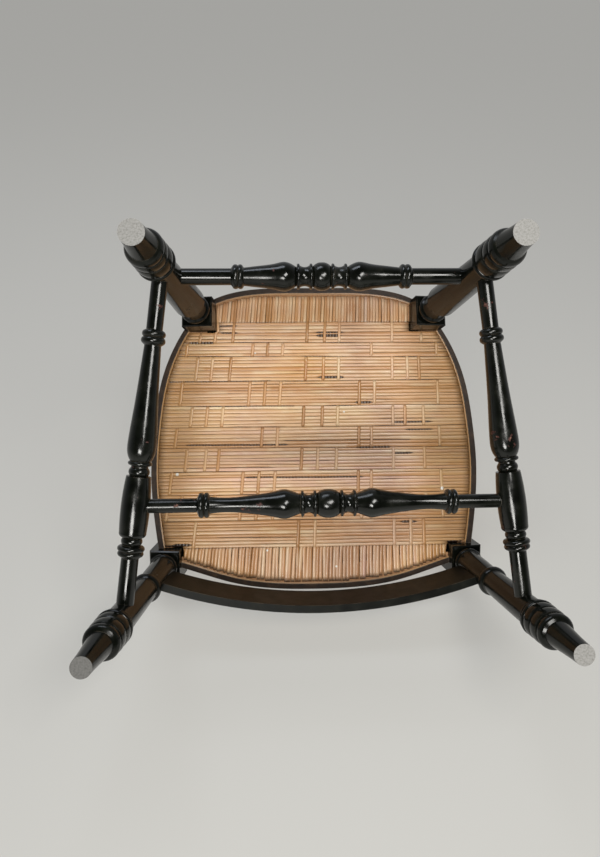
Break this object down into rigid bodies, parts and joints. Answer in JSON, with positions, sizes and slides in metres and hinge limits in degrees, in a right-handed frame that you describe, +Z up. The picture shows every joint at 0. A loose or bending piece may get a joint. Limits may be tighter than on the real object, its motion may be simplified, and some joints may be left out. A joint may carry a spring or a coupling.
{
  "type": "low turned chair",
  "caption": "Low nursing chair with turned black-lacquered legs, stretchers and spindle back, a bowed front apron, and a close-woven split-cane seat.",
  "frame": {"origin": "on the floor, at the middle of the chair's box", "axes": "+Z up, the front of the chair faces -Y, +X is the sitter's left"},
  "size_m": [0.4952, 0.4556, 0.813],
  "materials": {
    "black_lacquer": "gloss black lacquer over beech",
    "edge_strips": "worn dark lacquer",
    "cane": "split rattan cane, satin",
    "rail_wood": "bare beech",
    "nails": "blackened iron"
  },
  "bodies": {
    "root": {"apron_pegs": "black_lacquer", "back_spindle_1": "black_lacquer", "back_spindle_2": "black_lacquer", "back_spindle_3": "black_lacquer", "back_spindle_4": "black_lacquer", "back_spindle_5": "black_lacquer", "back_stile_left": "black_lacquer", "back_stile_right": "black_lacquer", "cane_top": "cane", "cane_underside": "cane", "cane_wraps": "cane", "crest_rail": "black_lacquer", "cross_stretcher": "black_lacquer", "edge_strip_front": "edge_strips", "edge_strip_left": "edge_strips", "edge_strip_rear": "edge_strips", "edge_strip_right": "edge_strips", "front_apron": "black_lacquer", "front_leg_left": "black_lacquer", "front_leg_right": "black_lacquer", "lower_back_rail": "black_lacquer", "rear_leg_left": "black_lacquer", "rear_leg_right": "black_lacquer", "rear_stretcher": "black_lacquer", "seat_rail_front": "rail_wood", "seat_rail_left": "rail_wood", "seat_rail_rear": "rail_wood", "seat_rail_right": "rail_wood", "side_stretcher_left": "black_lacquer", "side_stretcher_right": "black_lacquer", "strip_nails": "nails"}
  },
  "joints": []
}
